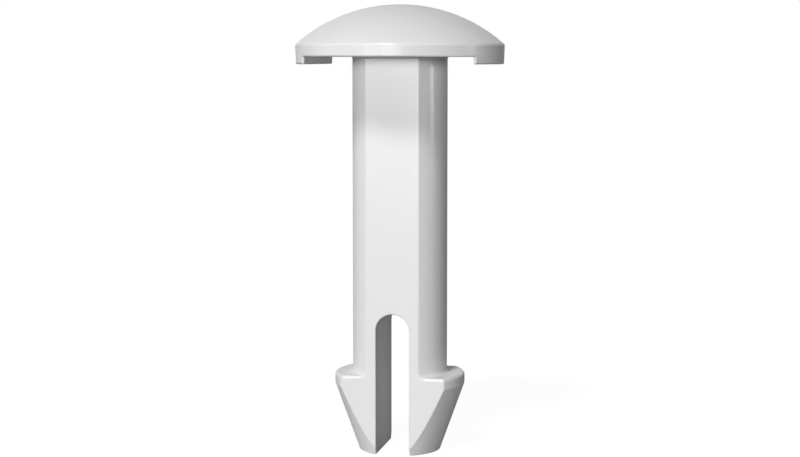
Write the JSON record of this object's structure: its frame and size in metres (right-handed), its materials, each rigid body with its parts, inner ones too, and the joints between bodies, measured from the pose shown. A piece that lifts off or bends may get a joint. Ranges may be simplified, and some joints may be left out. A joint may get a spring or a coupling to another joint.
{
  "type": "push-in plastic hole plug",
  "caption": "Domed plug that pushes into a hole in a panel, with a flatted shank, two barbed snap legs and a gap under its head for lifting it out.",
  "frame": {"origin": "midway between the two leg tips, in the plane of their flat ends", "axes": "+Z along the shank, up through the head; the two flats face -Y and +Y and the slot runs through along Y; the barbs reach out to -X and +X"},
  "size_m": [0.0132, 0.0132, 0.0282],
  "materials": {
    "plug_plastic": "smooth moulded light grey plastic with a soft gloss"
  },
  "bodies": {
    "root": {"hole_plug": "plug_plastic"}
  },
  "joints": []
}
